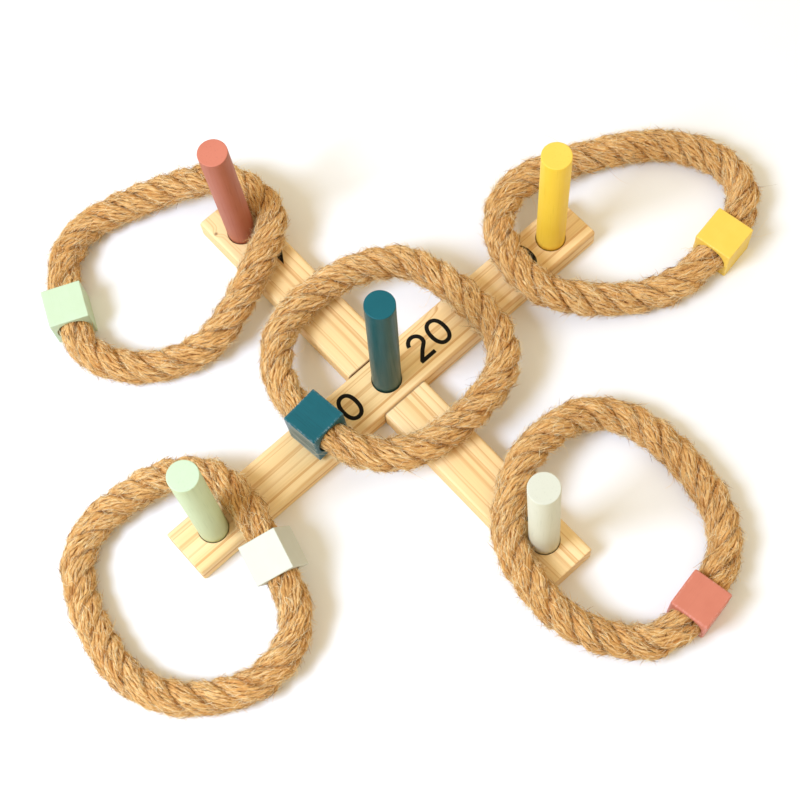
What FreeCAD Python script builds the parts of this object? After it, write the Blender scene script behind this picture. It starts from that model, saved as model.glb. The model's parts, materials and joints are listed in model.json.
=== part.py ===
import FreeCAD, Part
import math
import os

import Sketcher
from FreeCAD import Placement, Rotation, Vector

# A ring toss game. Two pine slats cross in a half-lap joint. A painted peg stands loose in a
# blind hole at the middle and near each of the four ends. Five rope rings lie around the pegs;
# each is a length of thick jute rope whose two ends meet inside a bored, painted cube.
#
# Frame: the origin is the centre of the cross on its underside. +Z is up, +X runs along the
# upper slat towards the yellow peg, +Y runs along the lower slat towards the red peg.

doc = FreeCAD.newDocument("ring_toss")

# ------------------------------------------------------------------ driving dimensions, in mm
DIMENSIONS = [
    ("slat_length", 355.0),   # each slat, end to end
    ("slat_width", 36.0),
    ("slat_height", 18.0),
    ("long_edge_round", 2.6),  # rounding along the slats
    ("end_edge_round", 1.0),   # rounding around the sawn ends
    ("lap_depth", 9.0),       # half of the slat's height
    ("lap_play", 0.15),       # gap on each side of the lap
    ("peg_spacing", 152.0),   # centre peg to end peg
    ("peg_length", 127.0),
    ("peg_dia", 20.0),
    ("peg_foot_dia", 19.4),   # the bare foot, without paint
    ("peg_foot_length", 14.5),
    ("peg_top_round", 0.6),
    ("hole_dia", 21.0),
    ("hole_deep", 14.0),
    ("seat_gap", 0.05),       # under the foot's lowest edge
    ("cube_side", 28.0),
    ("cube_edge_round", 0.9),
    ("cube_bore_dia", 22.4),
    ("rope_dia", 22.0),
    ("glue_thickness", 3.0),  # the hardened glue between the rope's two ends
    ("glue_dia", 21.0),
    ("lead_length", 19.0),    # rope that leaves a cube straight, to the route's next point
]

# Each peg: its place in peg spacings, and how far its top leans in X and Y over the length
# that shows. The holes are 1 mm wider than the pegs, so no two lean alike.
PEGS = {
    "teal": ((0, 0), (5.0, 1.0)),
    "yellow": ((1, 0), (0.8, 0.5)),
    "mint": ((-1, 0), (0.35, -0.95)),
    "red": ((0, 1), (-2.25, 0.2)),
    "white": ((0, -1), (-2.9, 1.8)),
}

# Each ring, named by its cube: the cube's centre, the direction of its bore in degrees
# (heading about Z, rise above level, roll about the bore), and the points that the rope's
# route goes through between the two straight leads out of the cube. The routes run from the
# bore's front end round to its back end. Rope that crosses a slat is high, and the rest
# slopes down to the floor; the ring around the centre peg stays up on all four arms.
RINGS = {
    "mint": {
        "centre": (-126.5, 189.5, 14.1), "heading": 65.8, "rise": 0.0, "roll": 0.0,
        "route": [
            (-81, 236, 12.5), (-52, 229, 12.5), (-27, 219, 16.5), (-3, 204.5, 23),
            (17.5, 188, 28.5), (25, 153, 29.8), (16, 133, 29.8), (-17.5, 116, 29.8),
            (-41, 107, 25), (-66, 101.5, 18), (-94, 108, 12), (-122, 127, 11.1),
        ],
    },
    "yellow": {
        "centre": (236, -82, 14.1), "heading": 8.5, "rise": 0.0, "roll": 0.0,
        "route": [
            (285.5, -44, 12), (268.5, -5, 11.1), (245, 15, 11.1), (219, 28, 13.5),
            (192, 38, 19), (160, 45, 25), (132, 34, 29), (116, 7, 29.5),
            (115, -26, 29.5), (128, -42, 22), (144.5, -56, 15), (169, -75.5, 12),
        ],
    },
    "teal": {
        "centre": (-58.4, 2.1, 33.8), "heading": 95.4, "rise": -6.1, "roll": 1.6,
        "route": [
            (-42, 66, 31), (-14, 76.5, 30), (14.5, 76, 29.5), (41, 69, 29.5),
            (65, 52, 29.5), (73, 26, 29.5), (76.5, -1.5, 29.5), (76, -30, 29.5),
            (59, -53.5, 29.5), (31, -59, 29.5), (4, -60, 30), (-27, -55, 31),
        ],
    },
    "white": {
        "centre": (-136, -44, 27.4), "heading": 75.2, "rise": 9.7, "roll": -21.3,
        "route": [
            (-128, 22.5, 31), (-150.5, 48, 22.5), (-179, 56, 15.5), (-207, 59, 12),
            (-233, 47, 11.1), (-247, 21, 11.1), (-254, -6, 11.1), (-257, -35, 11.1),
            (-246, -62.5, 11.1), (-228, -81, 11.1), (-197, -98, 12.5), (-163, -94, 17),
        ],
    },
    "red": {
        "centre": (43, -248, 14.1), "heading": 9.5, "rise": 0.0, "roll": 0.0,
        "route": [
            (98.5, -214, 12), (105, -182, 11.1), (105, -154, 11.1), (98.5, -126, 13),
            (77.5, -106, 18), (52, -103, 26), (25, -105.5, 29.8), (0.5, -119, 29.8),
            (-22, -140.5, 29.8), (-28.5, -170, 27.2), (-28.5, -196, 20), (-15, -227, 12.5),
        ],
    },
}

sheet = doc.addObject("Spreadsheet::Sheet", "Dimensions")
for row, (alias, value) in enumerate(DIMENSIONS, start=1):
    sheet.set("A%d" % row, alias)
    sheet.set("B%d" % row, str(value))
    sheet.setAlias("B%d" % row, alias)
doc.recompute()


def dim(alias):
    return float(getattr(sheet, alias))


def bind(thing, field, formula):
    """Bind a property or a named constraint to a formula in the sheet's aliases."""
    for alias, _ in DIMENSIONS:
        formula = formula.replace("<%s>" % alias, "Dimensions.%s" % alias)
    thing.setExpression(field, formula)


# ------------------------------------------------------------------ sketch and body helpers
def new_body(name):
    body = doc.addObject("PartDesign::Body", name)
    body.Label = name
    return body


def plane(body, role):
    return [f for f in body.Origin.OriginFeatures if f.Role == role][0]


def new_sketch(body, name, role="XY_Plane", lift=None):
    sketch = body.newObject("Sketcher::SketchObject", name)
    sketch.AttachmentSupport = [(plane(body, role), "")]
    sketch.MapMode = "FlatFace"
    if lift:
        bind(sketch, ".AttachmentOffset.Base.z", lift)
    return sketch


def add_box_outline(sketch, length, width):
    """A rectangle centred on the sketch's origin, with its two sizes bound to formulas."""
    corners = [Vector(-5, -5, 0), Vector(5, -5, 0), Vector(5, 5, 0), Vector(-5, 5, 0)]
    for k in range(4):
        sketch.addGeometry(Part.LineSegment(corners[k], corners[(k + 1) % 4]), False)
    for k in range(4):
        sketch.addConstraint(Sketcher.Constraint("Coincident", k, 2, (k + 1) % 4, 1))
    for k, kind in enumerate(("Horizontal", "Vertical", "Horizontal", "Vertical")):
        sketch.addConstraint(Sketcher.Constraint(kind, k))
    sketch.addConstraint(Sketcher.Constraint("Symmetric", 0, 1, 2, 1, -1, 1))
    across = sketch.addConstraint(Sketcher.Constraint("DistanceX", 0, 1, 0, 2, 10.0))
    upward = sketch.addConstraint(Sketcher.Constraint("DistanceY", 1, 1, 1, 2, 10.0))
    bind(sketch, "Constraints[%d]" % across, length)
    bind(sketch, "Constraints[%d]" % upward, width)


def add_circle(sketch, diameter, centre_x="0", sign=1):
    """A circle on the sketch's X axis, its place and size bound to formulas."""
    start = 0.0 if centre_x == "0" else 10.0 * sign
    circle = Part.Circle(Vector(start, 0, 0), Vector(0, 0, 1), 4.0)
    geo = sketch.addGeometry(circle, False)
    size = sketch.addConstraint(Sketcher.Constraint("Diameter", geo, 8.0))
    bind(sketch, "Constraints[%d]" % size, diameter)
    if centre_x == "0":
        sketch.addConstraint(Sketcher.Constraint("Coincident", geo, 3, -1, 1))
        return
    sketch.addConstraint(Sketcher.Constraint("PointOnObject", geo, 3, -1))
    ends = (-1, 1, geo, 3) if sign > 0 else (geo, 3, -1, 1)
    place = sketch.addConstraint(Sketcher.Constraint("DistanceX", *ends, 10.0))
    bind(sketch, "Constraints[%d]" % place, centre_x)


def pad(body, sketch, length, midplane=False):
    feature = body.newObject("PartDesign::Pad", sketch.Name + "_pad")
    feature.Profile = sketch
    feature.Midplane = midplane
    bind(feature, "Length", length)
    return feature


def pocket(body, sketch, length, reverse=False, midplane=False):
    """Cut the sketch into the body, and make sure that it took material away."""
    doc.recompute()
    before = body.Shape.Volume
    feature = body.newObject("PartDesign::Pocket", sketch.Name + "_pocket")
    feature.Profile = sketch
    feature.Reversed = reverse
    feature.Midplane = midplane
    bind(feature, "Length", length)
    doc.recompute()
    if body.Shape.Volume > before - 1.0:
        raise RuntimeError("the pocket %s cuts nothing" % feature.Name)
    return feature


def round_edges(body, radius, wanted):
    """Fillet the edges of the body's tip that wanted(edge) picks."""
    doc.recompute()
    tip = body.Tip
    names = ["Edge%d" % (k + 1) for k, edge in enumerate(tip.Shape.Edges) if wanted(edge)]
    if not names:
        raise RuntimeError("no edge of %s to round" % body.Label)
    feature = body.newObject("PartDesign::Fillet", body.Name + "_" + radius[1:-1])
    feature.Base = (tip, names)
    bind(feature, "Radius", radius)
    doc.recompute()
    return feature


def runs_along(edge, axis):
    if not isinstance(edge.Curve, Part.Line):
        return False
    return abs(abs(edge.tangentAt(edge.FirstParameter).dot(axis)) - 1.0) < 1e-6


# ------------------------------------------------------------------ the two slats
def make_slat(name, lap_on_top):
    """A slat along its own X axis, with a half lap at the middle and three peg holes."""
    body = new_body(name)
    plan = new_sketch(body, name + "_plan")
    add_box_outline(plan, "<slat_length>", "<slat_width>")
    pad(body, plan, "<slat_height>")
    round_edges(body, "<long_edge_round>", lambda e: runs_along(e, Vector(1, 0, 0)))
    half = dim("slat_length") / 2

    def at_end(edge):
        box = edge.BoundBox
        return min(abs(abs(box.XMin) - half), abs(abs(box.XMax) - half)) < 1e-6 and box.XLength < 1e-6

    round_edges(body, "<end_edge_round>", at_end)
    lap = new_sketch(body, name + "_lap", lift="<slat_height>" if lap_on_top else None)
    add_box_outline(lap, "<slat_width> + 2 * <lap_play>", "<slat_width> * 1.5")
    pocket(body, lap, "<lap_depth>", reverse=not lap_on_top)
    holes = new_sketch(body, name + "_holes", lift="<slat_height>")
    add_circle(holes, "<hole_dia>")
    add_circle(holes, "<hole_dia>", "<peg_spacing>", 1)
    add_circle(holes, "<hole_dia>", "<peg_spacing>", -1)
    pocket(body, holes, "<hole_deep>")
    return body


upper_slat = make_slat("upper_slat", lap_on_top=False)
lower_slat = make_slat("lower_slat", lap_on_top=True)
lower_slat.Placement = Placement(Vector(0, 0, 0), Rotation(Vector(0, 0, 1), 90))


# ------------------------------------------------------------------ the five pegs
def peg_axis(lean):
    showing = dim("peg_length") - dim("hole_deep")
    return Vector(lean[0], lean[1], showing).normalize()


def make_peg(colour, spot, lean):
    """A dowel on its own Z axis, its foot's underside at 0, set down leaning in its hole."""
    body = new_body(colour + "_peg")
    foot = new_sketch(body, body.Label + "_foot")
    add_circle(foot, "<peg_foot_dia>")
    pad(body, foot, "<peg_foot_length>")
    shaft = new_sketch(body, body.Label + "_shaft", lift="<peg_foot_length>")
    add_circle(shaft, "<peg_dia>")
    pad(body, shaft, "<peg_length> - <peg_foot_length>")
    round_edges(
        body, "<peg_top_round>",
        lambda e: abs(e.BoundBox.ZMin - dim("peg_length")) < 1e-6,
    )
    axis = peg_axis(lean)
    mouth = Vector(spot[0], spot[1], 0) * dim("peg_spacing") + Vector(0, 0, dim("slat_height"))
    tilt = math.acos(axis.z)
    dip = dim("peg_foot_dia") / 2 * math.sin(tilt) + dim("seat_gap")
    seat = mouth - axis * ((dim("hole_deep") - dip) / math.cos(tilt))
    body.Placement = Placement(seat, Rotation(Vector(0, 0, 1), axis))
    return body


pegs = [make_peg(colour, spot, lean) for colour, (spot, lean) in PEGS.items()]


# ------------------------------------------------------------------ the rings
def cube_turn(ring):
    """The turn that takes +X onto the bore's direction and rolls the cube about it."""
    heading = Rotation(Vector(0, 0, 1), ring["heading"])
    rise = Rotation(Vector(0, 1, 0), -ring["rise"])
    roll = Rotation(Vector(1, 0, 0), ring["roll"])
    return heading.multiply(rise).multiply(roll)


def make_cube(colour, ring):
    body = new_body(colour + "_ring_cube")
    face = new_sketch(body, body.Label + "_face", role="YZ_Plane")
    add_box_outline(face, "<cube_side>", "<cube_side>")
    pad(body, face, "<cube_side>", midplane=True)
    round_edges(body, "<cube_edge_round>", lambda e: True)
    bore = new_sketch(body, body.Label + "_bore", role="YZ_Plane")
    add_circle(bore, "<cube_bore_dia>")
    pocket(body, bore, "<cube_side> * 1.5", midplane=True)
    body.Placement = Placement(Vector(*ring["centre"]), cube_turn(ring))
    return body


def make_glue(colour, ring):
    """The disc of hardened glue that holds the two rope ends together inside the cube."""
    disc = doc.addObject("Part::Cylinder", colour + "_ring_glue")
    disc.Label = disc.Name
    bind(disc, "Radius", "<glue_dia> / 2")
    bind(disc, "Height", "<glue_thickness>")
    turn = cube_turn(ring).multiply(Rotation(Vector(0, 1, 0), 90))
    along = turn.multVec(Vector(0, 0, 1))
    start = Vector(*ring["centre"]) - along * (dim("glue_thickness") / 2)
    disc.Placement = Placement(start, turn)
    return disc


def rope_points(ring):
    """The route: from inside the bore, straight out of its front, round, and back in."""
    centre = Vector(*ring["centre"])
    bore = cube_turn(ring).multVec(Vector(1, 0, 0))
    inside = bore * (dim("glue_thickness") / 2)
    lead = bore * (dim("cube_side") / 2 + dim("lead_length"))
    middle = [Vector(*point) for point in ring["route"]]
    return [centre + inside, centre + lead] + middle + [centre - lead, centre - inside]


def rounded_path(points):
    """Straight runs joined by tangent arcs as large as the runs allow."""
    share = 0.45
    edges, radii, start = [], [], points[0]
    for before, corner, after in zip(points, points[1:], points[2:]):
        run_in, run_out = corner - before, after - corner
        back = Vector(-run_in.x, -run_in.y, -run_in.z).normalize()
        onward = Vector(run_out.x, run_out.y, run_out.z).normalize()
        half_turn = (math.pi - back.getAngle(onward)) / 2
        cut = share * min(run_in.Length, run_out.Length)
        radius = cut / math.tan(half_turn)
        enter, leave = corner + back * cut, corner + onward * cut
        inward = (back + onward).normalize()
        crown = corner + inward * (radius / math.cos(half_turn) - radius)
        edges.append(Part.LineSegment(start, enter).toShape())
        edges.append(Part.Arc(enter, crown, leave).toShape())
        radii.append(radius)
        start = leave
    edges.append(Part.LineSegment(start, points[-1]).toShape())
    return Part.Wire(edges), radii


def make_rope(colour, ring):
    path, radii = rounded_path(rope_points(ring))
    radius = dim("rope_dia") / 2
    first = path.Edges[0]
    section = Part.Wire(Part.makeCircle(
        radius, first.valueAt(first.FirstParameter), first.tangentAt(first.FirstParameter)))
    rope = doc.addObject("Part::Feature", colour + "_ring_rope")
    rope.Label = rope.Name
    rope.Shape = path.makePipeShell([section], True, False)
    volume, expected = rope.Shape.Volume, math.pi * radius ** 2 * path.Length
    print("%s rope: length %.1f mm, radii %s mm, volume %.4f of section x length" % (
        colour, path.Length, " ".join("%.0f" % r for r in radii), volume / expected))
    if abs(volume / expected - 1) > 0.01:
        raise RuntimeError("the %s rope's volume is wrong" % colour)
    if rope.Shape.optimalBoundingBox(False).ZMin < -1e-3:
        raise RuntimeError("the %s rope goes below the floor" % colour)
    return rope


rings = []
for colour, ring in RINGS.items():
    rings += [make_cube(colour, ring), make_glue(colour, ring), make_rope(colour, ring)]

# ------------------------------------------------------------------ checks and export
doc.recompute()
parts = [lower_slat, upper_slat] + pegs + rings
for thing in doc.Objects:
    if "Invalid" in thing.State or "Error" in thing.State:
        raise RuntimeError("%s failed: %s" % (thing.Label, thing.State))
for thing in parts:
    if thing.Shape.isNull() or not thing.Shape.isValid() or not thing.Shape.Solids:
        raise RuntimeError("%s has no valid solid" % thing.Label)
os.makedirs("parts", exist_ok=True)
for thing in parts:
    thing.Shape.exportStep("parts/%s.step" % thing.Label)
print("wrote %d parts" % len(parts))
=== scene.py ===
"""Ring toss game: painted pegs on a pine cross, and five rings of laid jute rope."""

import json
import math

import bpy
import numpy as np
from mathutils import Matrix, Vector, noise


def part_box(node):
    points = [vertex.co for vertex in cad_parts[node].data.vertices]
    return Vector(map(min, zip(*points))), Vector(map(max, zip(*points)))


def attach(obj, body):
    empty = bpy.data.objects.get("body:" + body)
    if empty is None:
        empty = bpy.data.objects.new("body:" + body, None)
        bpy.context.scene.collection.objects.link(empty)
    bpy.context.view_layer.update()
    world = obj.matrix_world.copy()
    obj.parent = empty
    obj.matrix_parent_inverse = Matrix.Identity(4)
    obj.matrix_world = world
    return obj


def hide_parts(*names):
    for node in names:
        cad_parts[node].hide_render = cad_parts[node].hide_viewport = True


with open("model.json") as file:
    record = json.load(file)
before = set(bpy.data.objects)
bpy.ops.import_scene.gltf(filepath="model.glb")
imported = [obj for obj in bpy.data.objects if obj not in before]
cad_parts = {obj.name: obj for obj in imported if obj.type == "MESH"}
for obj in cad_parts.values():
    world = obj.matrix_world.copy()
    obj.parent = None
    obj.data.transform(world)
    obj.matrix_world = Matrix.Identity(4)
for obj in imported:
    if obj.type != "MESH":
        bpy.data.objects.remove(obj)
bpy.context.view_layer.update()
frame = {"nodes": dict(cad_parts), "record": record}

MM = 0.001
MOUNTS = {mount["name"]: mount for mount in frame["record"]["mounts"]}
COLOURS = ("red", "yellow", "teal", "mint", "white")


# ---------------------------------------------------------------- camera and lights
CAMERA_AZIMUTH = math.radians(-33.39)    # 0 looks along +Y, positive goes round towards +X
CAMERA_ELEVATION = math.radians(69.35)
CAMERA_ROLL = math.radians(-9.22)
CAMERA_DISTANCE = 1.0564                 # to the plane through the slats' tops
CAMERA_OFFSET = (0.00893, -0.01433)      # of the view's middle, to its right and up
CAMERA_LENS = 70.85                      # in mm, on a 36 mm sensor
KEY_DIRECTION = (-0.80, 0.14, 1.0)
KEY_DISTANCE = 1.8
KEY_SIZE = 0.62
KEY_POWER = 24.0
KEY_COLOUR = (0.87, 1.06, 1.40)
DOME_HORIZON = (0.36, 0.31, 0.22)
DOME_ZENITH = (1.15, 1.02, 0.76)
SLAT_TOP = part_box("lower_slat")[1][2]


def add_camera():
    az, el, roll = CAMERA_AZIMUTH, CAMERA_ELEVATION, CAMERA_ROLL
    back = Vector((math.sin(az) * math.cos(el), -math.cos(az) * math.cos(el), math.sin(el)))
    level = (-back).cross(Vector((0, 0, 1))).normalized()
    rise = level.cross(-back)
    right = level * math.cos(roll) + rise * math.sin(roll)
    up = rise * math.cos(roll) - level * math.sin(roll)
    place = back * CAMERA_DISTANCE + right * CAMERA_OFFSET[0] + up * CAMERA_OFFSET[1]
    place.z += SLAT_TOP
    data = bpy.data.cameras.new("camera")
    data.lens = CAMERA_LENS
    data.sensor_width = 36.0
    data.clip_start = 0.05
    camera = bpy.data.objects.new("camera", data)
    turn = Matrix((right, up, back)).transposed()
    camera.matrix_world = Matrix.Translation(place) @ turn.to_4x4()
    bpy.context.collection.objects.link(camera)
    bpy.context.scene.camera = camera


def add_area_light(name, direction, distance, size, power, colour):
    """A square soft light that stands off in a direction and faces the middle of the game."""
    data = bpy.data.lights.new(name, "AREA")
    data.shape = "SQUARE"
    data.size = size
    data.energy = power
    data.color = colour
    light = bpy.data.objects.new(name, data)
    way = Vector(direction).normalized()
    light.location = way * distance
    light.rotation_euler = way.to_track_quat("Z", "Y").to_euler()
    bpy.context.collection.objects.link(light)


def add_world(horizon, zenith):
    """A soft dome of light that grows from the horizon up to the zenith."""
    world = bpy.data.worlds.new("studio")
    world.use_nodes = True
    tree = world.node_tree
    place = tree.nodes.new("ShaderNodeTexCoord")
    height = tree.nodes.new("ShaderNodeSeparateXYZ")
    dome = tree.nodes.new("ShaderNodeValToRGB")
    for element, colour in zip(dome.color_ramp.elements, (horizon, zenith)):
        element.color = (*colour, 1)
    tree.links.new(place.outputs["Generated"], height.inputs[0])
    tree.links.new(height.outputs["Z"], dome.inputs[0])
    tree.links.new(dome.outputs[0], tree.nodes["Background"].inputs["Color"])
    bpy.context.scene.world = world


# ---------------------------------------------------------------- materials
class Shader:
    """Builds one node material. Every node call returns its first output socket."""

    def __init__(self, name, roughness, specular=0.5):
        self.material = bpy.data.materials.new(name)
        self.material.use_nodes = True
        self.tree = self.material.node_tree
        self.surface = self.tree.nodes["Principled BSDF"]
        self.surface.inputs["Roughness"].default_value = roughness
        self.surface.inputs["Specular IOR Level"].default_value = specular

    def node(self, kind, inputs=(), output=0, **settings):
        made = self.tree.nodes.new("ShaderNode" + kind)
        for key, value in settings.items():
            setattr(made, key, value)
        for key, value in dict(inputs).items():
            if isinstance(value, bpy.types.NodeSocket):
                self.tree.links.new(value, made.inputs[key])
            else:
                made.inputs[key].default_value = value
        return made.outputs[output]

    def math(self, operation, a, b=0.0, clamp=False):
        return self.node("Math", {0: a, 1: b}, operation=operation, use_clamp=clamp)

    def vector(self, operation, a, b=(0, 0, 0)):
        return self.node("VectorMath", {0: a, 1: b}, operation=operation)

    def scaled(self, source, scale):
        return self.node("Mapping", {"Vector": source, "Scale": scale})

    def noise(self, source, scale, detail=2.0, roughness=0.5):
        return self.node("TexNoise", {"Vector": source, "Scale": scale, "Detail": detail,
                                      "Roughness": roughness})

    def ramp(self, factor, stops):
        """A colour ramp; each stop is a place and an RGB colour, or a place and a grey."""
        made = self.tree.nodes.new("ShaderNodeValToRGB")
        band = made.color_ramp
        while len(band.elements) < len(stops):
            band.elements.new(0.5)
        for element, (place, colour) in zip(band.elements, stops):
            element.position = place
            rgb = colour if isinstance(colour, tuple) else (colour,) * 3
            element.color = (*rgb, 1)
        self.tree.links.new(factor, made.inputs[0])
        return made.outputs[0]

    def mix(self, factor, a, b, blend="MIX"):
        made = self.tree.nodes.new("ShaderNodeMix")
        made.data_type = "RGBA"
        made.blend_type = blend
        for socket, value in ((made.inputs[0], factor), (made.inputs[6], a), (made.inputs[7], b)):
            if isinstance(value, bpy.types.NodeSocket):
                self.tree.links.new(value, socket)
            else:
                socket.default_value = (*value, 1) if isinstance(value, tuple) else value
        return made.outputs[2]

    def bump(self, height, strength, distance):
        normal = self.node("Bump", {"Height": height, "Strength": strength, "Distance": distance})
        self.tree.links.new(normal, self.surface.inputs["Normal"])

    def link(self, socket, value):
        self.tree.links.new(value, self.surface.inputs[socket])

    def object_place(self):
        return self.node("TexCoord", output=3)

    def attribute(self, name, output=0):
        return self.node("Attribute", output=output, attribute_name=name)


PINE_PALE = (0.98, 0.730, 0.390)
PINE_LINE = (0.64, 0.305, 0.075)
PINE_END = (0.72, 0.47, 0.22)
PINE_DARK = (0.16, 0.07, 0.025)
RING_WANDER = 7.0 * MM        # how far the growth rings drift along the slat
RING_UNEVENNESS = 4.0 * MM    # how unequal the years are
LAP_SHADE_HALF = 1.1 * MM          # half the band of painted shade in the lap's narrow gap


def pine_material(name, along, pith, spacing, marks, lap_gap_shade):
    """Pine whose growth rings run along one axis, around a pith line outside the slat.

    along is 0 or 1, the axis of the grain; pith is where its line passes, across and up. Each
    mark is a small dark knot or scratch: its place, its size each way, how far it bends the
    rings and how dark it is. The last argument is how far from the middle the lap's joint
    crosses the slat, on both sides, or None where no joint shows; there a band of painted shade
    stands in for the shade in the joint's narrow gap."""
    wood = Shader(name, roughness=0.5, specular=0.3)
    place = wood.object_place()
    across = 1 - along

    def stretched(scale, lengthwise):
        sizes = [scale, scale, scale]
        sizes[along] = lengthwise
        return wood.scaled(place, tuple(sizes))

    slow = wood.noise(stretched(16.0, 4.5), 1.0, 2.0)
    wander = wood.math("MULTIPLY", wood.math("SUBTRACT", slow, 0.5), RING_WANDER)
    axes = wood.tree.nodes.new("ShaderNodeSeparateXYZ")
    wood.tree.links.new(place, axes.inputs[0])
    side = wood.math("SUBTRACT", axes.outputs[across], pith[0])
    depth = wood.math("SUBTRACT", axes.outputs[2], pith[1])
    radius = wood.math("SQRT", wood.math("ADD", wood.math("POWER", side, 2.0),
                                         wood.math("POWER", depth, 2.0)))
    radius = wood.math("ADD", radius, wander)
    dark = None
    for spot, size, bend, shade in marks:
        away = wood.vector("DIVIDE", wood.vector("SUBTRACT", place, spot), size)
        away = wood.node("VectorMath", {0: away}, output=1, operation="LENGTH")
        swell = wood.math("EXPONENT", wood.math("MULTIPLY", wood.math("POWER", away, 2.0), -0.12))
        radius = wood.math("ADD", radius, wood.math("MULTIPLY", swell, bend))
        core = wood.math("MULTIPLY", wood.math("SUBTRACT", 1.3, away, clamp=True), shade)
        dark = core if dark is None else wood.math("MAXIMUM", dark, core)
    season = wood.node("TexNoise", {"W": wood.math("MULTIPLY", radius, 130.0), "Detail": 1.0},
                       noise_dimensions="1D")
    season = wood.math("MULTIPLY", wood.math("SUBTRACT", season, 0.5), RING_UNEVENNESS)
    count = wood.math("DIVIDE", wood.math("ADD", radius, season), spacing)
    line = wood.ramp(wood.math("FRACT", count), [
        (0.0, 0.0), (0.45, 0.03), (0.70, 0.20), (0.85, 0.90), (0.91, 1.0), (0.95, 0.0)])
    uneven = wood.node("TexWhiteNoise", {"W": wood.math("FLOOR", count)}, noise_dimensions="1D")
    strength = wood.math("ADD", wood.math("MULTIPLY", uneven, 0.55), 0.45)
    broken = wood.ramp(wood.noise(stretched(250.0, 9.0), 1.0, 2.0), [(0.3, 0.7), (0.6, 1.0)])
    line = wood.math("MULTIPLY", wood.math("MULTIPLY", line, strength), broken)
    colour = wood.mix(line, PINE_PALE, PINE_LINE)
    fine = wood.noise(stretched(900.0, 18.0), 1.0, 3.0, 0.6)
    colour = wood.mix(1.0, colour, wood.ramp(fine, [(0.35, 0.93), (0.65, 1.0)]), "MULTIPLY")
    clouds = wood.ramp(wood.noise(stretched(70.0, 7.0), 1.0, 1.0),
                       [(0.35, (0.95, 0.90, 0.80)), (0.62, (1.0, 1.0, 1.0))])
    colour = wood.mix(1.0, colour, clouds, "MULTIPLY")
    facing = wood.tree.nodes.new("ShaderNodeSeparateXYZ")
    wood.tree.links.new(wood.node("TexCoord", output=1), facing.inputs[0])
    end = wood.math("GREATER_THAN", wood.math("ABSOLUTE", facing.outputs[along]), 0.7)
    colour = wood.mix(wood.math("MULTIPLY", end, 0.40), colour, PINE_END)
    # painted shade: faces that don't face up, the slat's sides and ends, are multiplied darker and
    # warmer for how the light falls on them
    flat = wood.ramp(wood.math("ABSOLUTE", facing.outputs[2]),
                     [(0.3, (1.0, 0.95, 0.82)), (0.7, (1.0, 1.0, 1.0))])
    colour = wood.mix(1.0, colour, flat, "MULTIPLY")
    # painted shade: a dark band across the slat where the other slat's edges meet it, standing in for
    # the shade in the lap's narrow gap
    if lap_gap_shade is not None:
        gap = wood.math("SUBTRACT", wood.math("ABSOLUTE", axes.outputs[along]), lap_gap_shade)
        gap = wood.math("DIVIDE", wood.math("ABSOLUTE", gap), LAP_SHADE_HALF)
        dark = wood.math("MAXIMUM", dark, wood.ramp(gap, [(0.45, 0.75), (1.0, 0.0)]))
    colour = wood.mix(dark, colour, PINE_DARK)
    wood.link("Base Color", colour)
    wood.bump(fine, 0.25, 0.2 * MM)
    return wood.material


def paint_material(name, colour, shade, gloss_rough, side, grain_axis):
    """Satin paint on wood, with the grain faintly showing through.

    side is how the shaft's colour differs from the end's: painted light and shade for how the light
    falls on the upright sides against the top."""
    paint = Shader(name, roughness=gloss_rough, specular=0.22)
    place = paint.object_place()
    stretch = [700.0, 700.0, 700.0]
    stretch[grain_axis] = 25.0
    grain = paint.noise(paint.scaled(place, tuple(stretch)), 1.0, 3.0, 0.6)
    cloud = paint.noise(place, 45.0, 2.0)
    tone = paint.ramp(cloud, [(0.3, shade), (0.7, colour)])
    facing = paint.tree.nodes.new("ShaderNodeSeparateXYZ")
    paint.tree.links.new(paint.node("TexCoord", output=1), facing.inputs[0])
    # painted light and shade: faces that look sideways get the shaft's multiplied colour, the top
    # keeps the paint's own, as the light falls on each
    top = paint.ramp(facing.outputs[grain_axis], [(0.3, 0.0), (0.8, 1.0)])
    tone = paint.mix(top, paint.mix(1.0, tone, side, "MULTIPLY"), tone)
    lines = paint.ramp(grain, [(0.28, 0.90), (0.42, 1.0)])
    paint.link("Base Color", paint.mix(1.0, tone, lines, "MULTIPLY"))
    rough = paint.ramp(grain, [(0.3, gloss_rough + 0.12), (0.6, gloss_rough)])
    paint.link("Roughness", rough)
    paint.bump(grain, 0.18, 0.12 * MM)
    return paint.material


def jute_material(name, stops, specular, contrast, bumpiness):
    """Jute: colour by each vertex's tone, with painted shade on deeper-lying yarns, and by fine
    streaks along each yarn.
    """
    jute = Shader(name, roughness=0.8, specular=specular)
    fibre = jute.attribute("fibre", output=1)
    tone = jute.attribute("tone", output=2)
    streak = jute.noise(jute.scaled(fibre, (0.10, 1.0, 1.0)), 2.6, 3.0, 0.65)
    flake = jute.noise(jute.scaled(fibre, (0.35, 0.6, 1.0)), 1.3, 2.0, 0.5)
    level = tone
    for pattern, share in ((streak, contrast), (flake, 0.35)):
        swing = jute.math("MULTIPLY", jute.math("SUBTRACT", pattern, 0.5), share)
        level = jute.math("ADD", level, swing)
    colour = jute.ramp(level, stops)
    patch = jute.noise(jute.scaled(fibre, (0.05, 0.3, 0.9)), 1.0, 2.0)
    rust = jute.ramp(patch, [(0.34, (0.96, 0.84, 0.73)), (0.50, (1.0, 1.0, 1.0))])
    colour = jute.mix(1.0, colour, rust, "MULTIPLY")
    jute.link("Base Color", colour)
    jute.bump(streak, bumpiness, 0.5 * MM)
    return jute.material


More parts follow.
